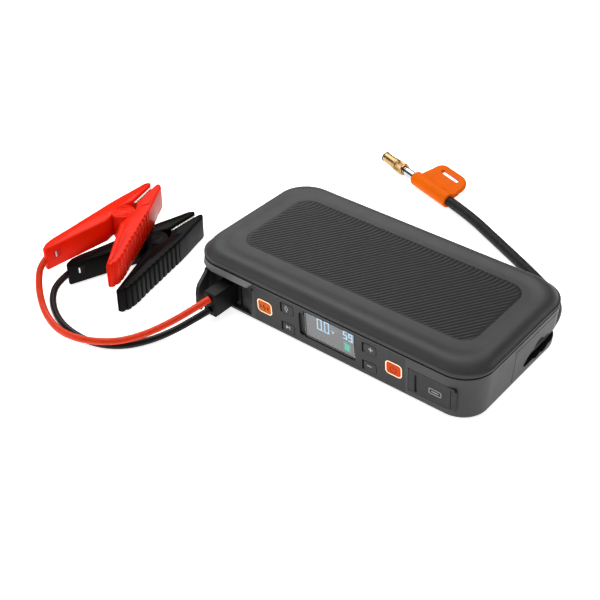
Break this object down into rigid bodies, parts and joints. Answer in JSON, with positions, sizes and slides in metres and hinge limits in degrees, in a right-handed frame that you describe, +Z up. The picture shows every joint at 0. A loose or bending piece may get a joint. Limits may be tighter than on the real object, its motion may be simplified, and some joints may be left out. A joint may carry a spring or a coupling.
{
  "type": "jump starter pack",
  "caption": "Portable car jump starter with tyre inflator: flat ribbed case, control panel with display, plug-in clamp leads and an air hose with valve chuck.",
  "frame": {"origin": "middle of the case's footprint, on the plane the feet stand on", "axes": "+X along the case to the end where the air hose leaves, +Y away from the control panel, +Z up"},
  "size_m": [0.3481, 0.3686, 0.046],
  "materials": {
    "case_grey": "soft-touch moulded plastic",
    "grip_grey": "ribbed matte plastic",
    "control_grey": "fine matte plastic",
    "liner_black": "matte black",
    "key_orange": "satin translucent orange",
    "ring_light": "frosted light guide",
    "display_glass": "clear gloss",
    "display_grey": "LCD face",
    "board_green": "solder mask",
    "board_black": "moulded components",
    "contact_steel": "stamped steel",
    "contact_brass": "machined brass",
    "cell_foil": "foil pouch",
    "tray_plastic": "moulded tray",
    "busbar_nickel": "nickel strip",
    "drive_aluminium": "die cast",
    "motor_steel": "zinc plated",
    "gear_steel": "sintered steel",
    "piston_polymer": "filled nylon",
    "tube_rubber": "silicone tube",
    "hose_rubber": "braided black hose",
    "collar_orange": "satin moulded orange",
    "stem_chrome": "polished",
    "nut_brass": "knurled brass",
    "lens_clear": "clear lens",
    "reflector_chrome": "vacuum plated",
    "foot_rubber": "matte rubber",
    "screw_steel": "black oxide",
    "flap_rubber": "matte grey rubber",
    "plug_black": "satin nylon",
    "lead_red": "silicone jacket",
    "lead_black": "silicone jacket",
    "clamp_red": "satin nylon",
    "clamp_black": "satin nylon",
    "jaw_copper": "tinned copper",
    "pin_steel": "plated steel"
  },
  "bodies": {
    "case": {"bottom_shell": "case_grey", "hose_channel": "liner_black", "top_shell": "case_grey", "grip_panel": "grip_grey", "control_fascia": "control_grey", "button_light_rings": "ring_light", "lcd_window": "display_glass", "lcd_module": "display_grey", "display_board": "board_green", "button_switches": "board_black", "usb_ports": "contact_steel", "usb_board": "board_green", "jump_socket": "liner_black", "socket_contacts": "contact_brass", "battery_cells": "cell_foil", "battery_tray": "tray_plastic", "battery_busbars": "busbar_nickel", "power_board": "board_green", "board_parts": "board_black", "compressor_frame": "drive_aluminium", "motor_can": "motor_steel", "cylinder": "drive_aluminium", "cylinder_head": "drive_aluminium", "air_tube": "tube_rubber", "hose_gland": "contact_brass", "torch_lens": "lens_clear", "torch_reflector": "reflector_chrome", "feet": "foot_rubber", "case_screws": "screw_steel", "air_hose": "hose_rubber", "hose_collar": "collar_orange", "chuck_stem": "stem_chrome"},
    "boost_key": {"boost_button": "key_orange"},
    "power_key": {"power_button": "key_orange"},
    "light_key": {"light_button": "control_grey"},
    "mode_key": {"mode_button": "control_grey"},
    "plus_key": {"plus_button": "control_grey"},
    "minus_key": {"minus_button": "control_grey"},
    "usb_cover": {"usb_flap": "flap_rubber"},
    "socket_flap": {"socket_cover": "flap_rubber"},
    "pinion": {"motor_pinion": "gear_steel"},
    "crank": {"crank_gear": "gear_steel"},
    "piston": {"piston_rod": "piston_polymer"},
    "nut": {"chuck_nut": "nut_brass"},
    "lead_set": {"plug_housing": "plug_black", "plug_pins": "contact_brass", "red_lead": "lead_red", "black_lead": "lead_black", "black_cable_handle": "clamp_black", "red_cable_handle": "clamp_red", "black_cable_jaw": "jaw_copper", "red_cable_jaw": "jaw_copper", "pivot_pins": "pin_steel", "clamp_springs": "pin_steel", "crimp_screws": "pin_steel"},
    "black_clamp": {"black_moving_handle": "clamp_black", "black_moving_jaw": "jaw_copper"},
    "red_clamp": {"red_moving_handle": "clamp_red", "red_moving_jaw": "jaw_copper"}
  },
  "joints": [
    {"name": "boost_press", "type": "slide", "parent": "case", "child": "boost_key", "axis": [0, 0.9958, 0.0918], "range_m": [0, 0.0008], "stiffness_N_per_m": 1200, "springref_m": -0.0004},
    {"name": "power_press", "type": "slide", "parent": "case", "child": "power_key", "axis": [0, 0.9958, 0.0918], "range_m": [0, 0.0008], "stiffness_N_per_m": 1200, "springref_m": -0.0004},
    {"name": "light_press", "type": "slide", "parent": "case", "child": "light_key", "axis": [0, 0.9958, 0.0918], "range_m": [0, 0.0008], "stiffness_N_per_m": 1200, "springref_m": -0.0004},
    {"name": "mode_press", "type": "slide", "parent": "case", "child": "mode_key", "axis": [0, 0.9958, 0.0918], "range_m": [0, 0.0008], "stiffness_N_per_m": 1200, "springref_m": -0.0004},
    {"name": "plus_press", "type": "slide", "parent": "case", "child": "plus_key", "axis": [0, 0.9958, 0.0918], "range_m": [0, 0.0008], "stiffness_N_per_m": 1200, "springref_m": -0.0004},
    {"name": "minus_press", "type": "slide", "parent": "case", "child": "minus_key", "axis": [0, 0.9958, 0.0918], "range_m": [0, 0.0008], "stiffness_N_per_m": 1200, "springref_m": -0.0004},
    {"name": "usb_flap_hinge", "type": "hinge", "parent": "case", "child": "usb_cover", "pos_m": [0.111, -0.06504, 0.01794], "axis": [0, -0.0918, 0.9958], "range_deg": [0, 100]},
    {"name": "socket_cover_hinge", "type": "hinge", "parent": "case", "child": "socket_flap", "pos_m": [-0.1106, -0.0656, 0.0175], "axis": [0, 0, -1], "range_deg": [0, 36]},
    {"name": "crank_spin", "type": "hinge", "parent": "case", "child": "crank", "pos_m": [0.06, -0.0055, 0.021], "axis": [1, 0, 0], "continuous": true},
    {"name": "pinion_spin", "type": "hinge", "parent": "case", "child": "pinion", "pos_m": [0.059, -0.025, 0.021], "axis": [1, 0, 0], "continuous": true},
    {"name": "piston_stroke", "type": "slide", "parent": "case", "child": "piston", "axis": [0, 1, 0], "range_m": [-0.01, 0]},
    {"name": "nut_spin", "type": "hinge", "parent": "case", "child": "nut", "pos_m": [-0.11507, 0.19018, 0.0065], "axis": [-0.9458, 0.3247, 0], "continuous": true},
    {"name": "plug_pull", "type": "slide", "parent": "case", "child": "lead_set", "axis": [0, -1, 0], "range_m": [0, 0.025]},
    {"name": "black_clamp_open", "type": "hinge", "parent": "lead_set", "child": "black_clamp", "pos_m": [-0.1805, -0.05, 0.0105], "axis": [0, 0, -1], "range_deg": [0, 34], "stiffness_Nm_per_rad": 0.6, "springref_deg": -28.65},
    {"name": "red_clamp_open", "type": "hinge", "parent": "lead_set", "child": "red_clamp", "pos_m": [-0.203, -0.0614, 0.0318], "axis": [0, 0, -1], "range_deg": [0, 34], "stiffness_Nm_per_rad": 0.6, "springref_deg": -28.65}
  ],
  "couplings": [
    {"joint": "pinion_spin", "follows": "crank_spin", "ratio": -3}
  ]
}
